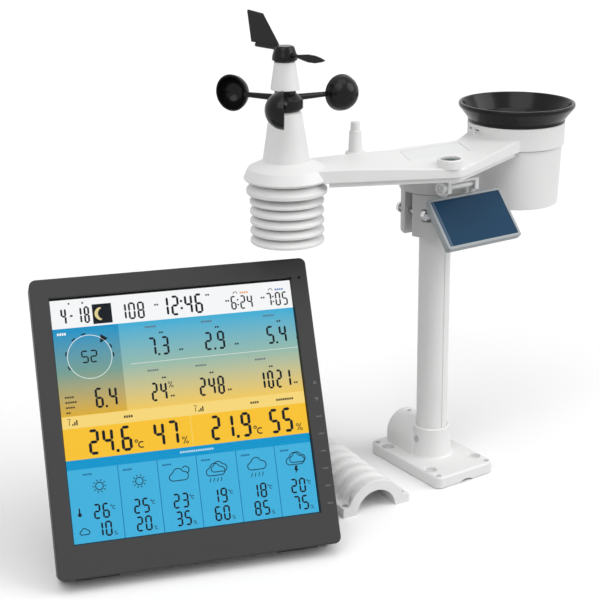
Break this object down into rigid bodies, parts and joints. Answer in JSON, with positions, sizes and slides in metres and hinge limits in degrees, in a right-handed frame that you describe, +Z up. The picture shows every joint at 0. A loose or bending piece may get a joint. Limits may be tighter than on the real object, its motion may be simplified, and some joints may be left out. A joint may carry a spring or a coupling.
{
  "type": "home weather station",
  "caption": "Home weather station: outdoor sensor head with wind cups, vane, rain gauge, louvred shield and solar panel on a pole mount, with a leaning colour display console.",
  "frame": {"origin": "centre of the base plate's screw pattern on the plate's underside, on the pole's axis, at ground level", "axes": "+X along the arm from the wind column to the rain gauge, +Z up along the pole, +Y away from the solar panel"},
  "size_m": [0.4899, 0.1858, 0.3935],
  "materials": {
    "white_plastic": "satin moulded",
    "inset_plate": "fine matt",
    "sensor_window": "glossy dark teal",
    "circuit_board": "solder mask",
    "battery": "satin",
    "steel": "plated",
    "magnet": "dull",
    "black_plastic": "glossy moulded",
    "panel_frame": "silver grey",
    "solar_glass": "glossy dark blue",
    "bezel_plastic": "fine grain",
    "window_glass": "clear",
    "display": "lit colour display",
    "inlet_plastic": "moulded",
    "rubber": "soft",
    "key_plastic": "moulded"
  },
  "bodies": {
    "ground_mount": {"mount_base": "white_plastic", "mount_pole": "white_plastic", "pole_lock_screw": "steel"},
    "sensor_head": {"arm_upper_shell": "white_plastic", "arm_lower_cover": "white_plastic", "arm_screws": "steel", "arm_inset_plate": "inset_plate", "light_sensor_ring": "white_plastic", "light_sensor_window": "sensor_window", "antenna_stub": "white_plastic", "sensor_board": "circuit_board", "sensor_battery": "battery", "battery_door": "white_plastic", "pole_clamp_rear": "white_plastic", "pole_clamp_front": "white_plastic", "clamp_bolts": "steel", "wind_tower": "white_plastic", "wind_spindle": "steel", "upper_cone": "white_plastic", "wind_board": "circuit_board", "shield_top_plate": "white_plastic", "shield_plates": "white_plastic", "shield_base_plate": "white_plastic", "shield_rods": "steel", "climate_probe": "circuit_board", "rain_housing": "white_plastic", "rain_base": "white_plastic", "tipping_axle": "steel"},
    "rotor": {"cup_rotor": "black_plastic", "rotor_magnet": "magnet"},
    "vane": {"wind_vane": "black_plastic", "vane_shaft": "steel"},
    "funnel": {"rain_funnel": "black_plastic", "rain_screen": "black_plastic"},
    "bucket": {"tipping_bucket": "black_plastic"},
    "panel": {"solar_frame": "panel_frame", "solar_cell": "solar_glass", "solar_yoke": "white_plastic", "solar_hinge_pin": "white_plastic"},
    "console": {"console_bezel": "bezel_plastic", "console_rear_shell": "bezel_plastic", "console_window": "window_glass", "console_display": "display", "console_board": "circuit_board", "console_stand_pin": "steel", "console_battery_cover": "bezel_plastic", "console_coin_cell": "battery", "console_dc_inlet": "inlet_plastic", "console_feet": "rubber", "console_screws": "steel"},
    "stand": {"console_stand": "bezel_plastic"},
    "strap": {"strap_clamp": "white_plastic"},
    "key_1": {"console_key_1": "key_plastic"},
    "key_2": {"console_key_2": "key_plastic"},
    "key_3": {"console_key_3": "key_plastic"},
    "key_4": {"console_key_4": "key_plastic"},
    "key_5": {"console_key_5": "key_plastic"},
    "key_6": {"console_key_6": "key_plastic"},
    "key_7": {"console_key_7": "key_plastic"},
    "key_8": {"console_key_8": "key_plastic"}
  },
  "joints": [
    {"name": "head_swivel", "type": "hinge", "parent": "ground_mount", "child": "sensor_head", "pos_m": [0, 0, 0.24], "axis": [0, 0, 1], "range_deg": [-180, 180]},
    {"name": "cup_spin", "type": "hinge", "parent": "sensor_head", "child": "rotor", "pos_m": [-0.144, 0, 0.331], "axis": [0, 0, 1], "continuous": true},
    {"name": "vane_turn", "type": "hinge", "parent": "sensor_head", "child": "vane", "pos_m": [-0.144, 0, 0.362], "axis": [0, 0, 1], "continuous": true},
    {"name": "funnel_twist", "type": "hinge", "parent": "sensor_head", "child": "funnel", "pos_m": [0.085, 0, 0.29], "axis": [0, 0, 1], "range_deg": [0, 30]},
    {"name": "bucket_tip", "type": "hinge", "parent": "sensor_head", "child": "bucket", "pos_m": [0.085, 0, 0.236], "axis": [0, 1, 0], "range_deg": [-30, 0]},
    {"name": "panel_tilt", "type": "hinge", "parent": "sensor_head", "child": "panel", "pos_m": [0, -0.036, 0.254], "axis": [1, 0, 0], "range_deg": [-29, 11]},
    {"name": "console_slide", "type": "slide", "parent": "ground_mount", "child": "console", "axis": [-0.3305, -0.9438, 0], "range_m": [0, 0.1]},
    {"name": "stand_fold", "type": "hinge", "parent": "console", "child": "stand", "pos_m": [-0.23327, 0.01356, 0.10569], "axis": [0.9438, -0.3305, 0], "range_deg": [-48, 0]},
    {"name": "strap_slide", "type": "slide", "parent": "ground_mount", "child": "strap", "axis": [0, 1, 0], "range_m": [0, 0.08]},
    {"name": "key_1_press", "type": "slide", "parent": "console", "child": "key_1", "axis": [-0.9438, 0.3305, 0], "range_m": [0, 0.001], "stiffness_N_per_m": 300},
    {"name": "key_2_press", "type": "slide", "parent": "console", "child": "key_2", "axis": [-0.9438, 0.3305, 0], "range_m": [0, 0.001], "stiffness_N_per_m": 300},
    {"name": "key_3_press", "type": "slide", "parent": "console", "child": "key_3", "axis": [-0.9438, 0.3305, 0], "range_m": [0, 0.001], "stiffness_N_per_m": 300},
    {"name": "key_4_press", "type": "slide", "parent": "console", "child": "key_4", "axis": [-0.9438, 0.3305, 0], "range_m": [0, 0.001], "stiffness_N_per_m": 300},
    {"name": "key_5_press", "type": "slide", "parent": "console", "child": "key_5", "axis": [-0.9438, 0.3305, 0], "range_m": [0, 0.001], "stiffness_N_per_m": 300},
    {"name": "key_6_press", "type": "slide", "parent": "console", "child": "key_6", "axis": [-0.9438, 0.3305, 0], "range_m": [0, 0.001], "stiffness_N_per_m": 300},
    {"name": "key_7_press", "type": "slide", "parent": "console", "child": "key_7", "axis": [-0.9438, 0.3305, 0], "range_m": [0, 0.001], "stiffness_N_per_m": 300},
    {"name": "key_8_press", "type": "slide", "parent": "console", "child": "key_8", "axis": [-0.9438, 0.3305, 0], "range_m": [0, 0.001], "stiffness_N_per_m": 300}
  ]
}
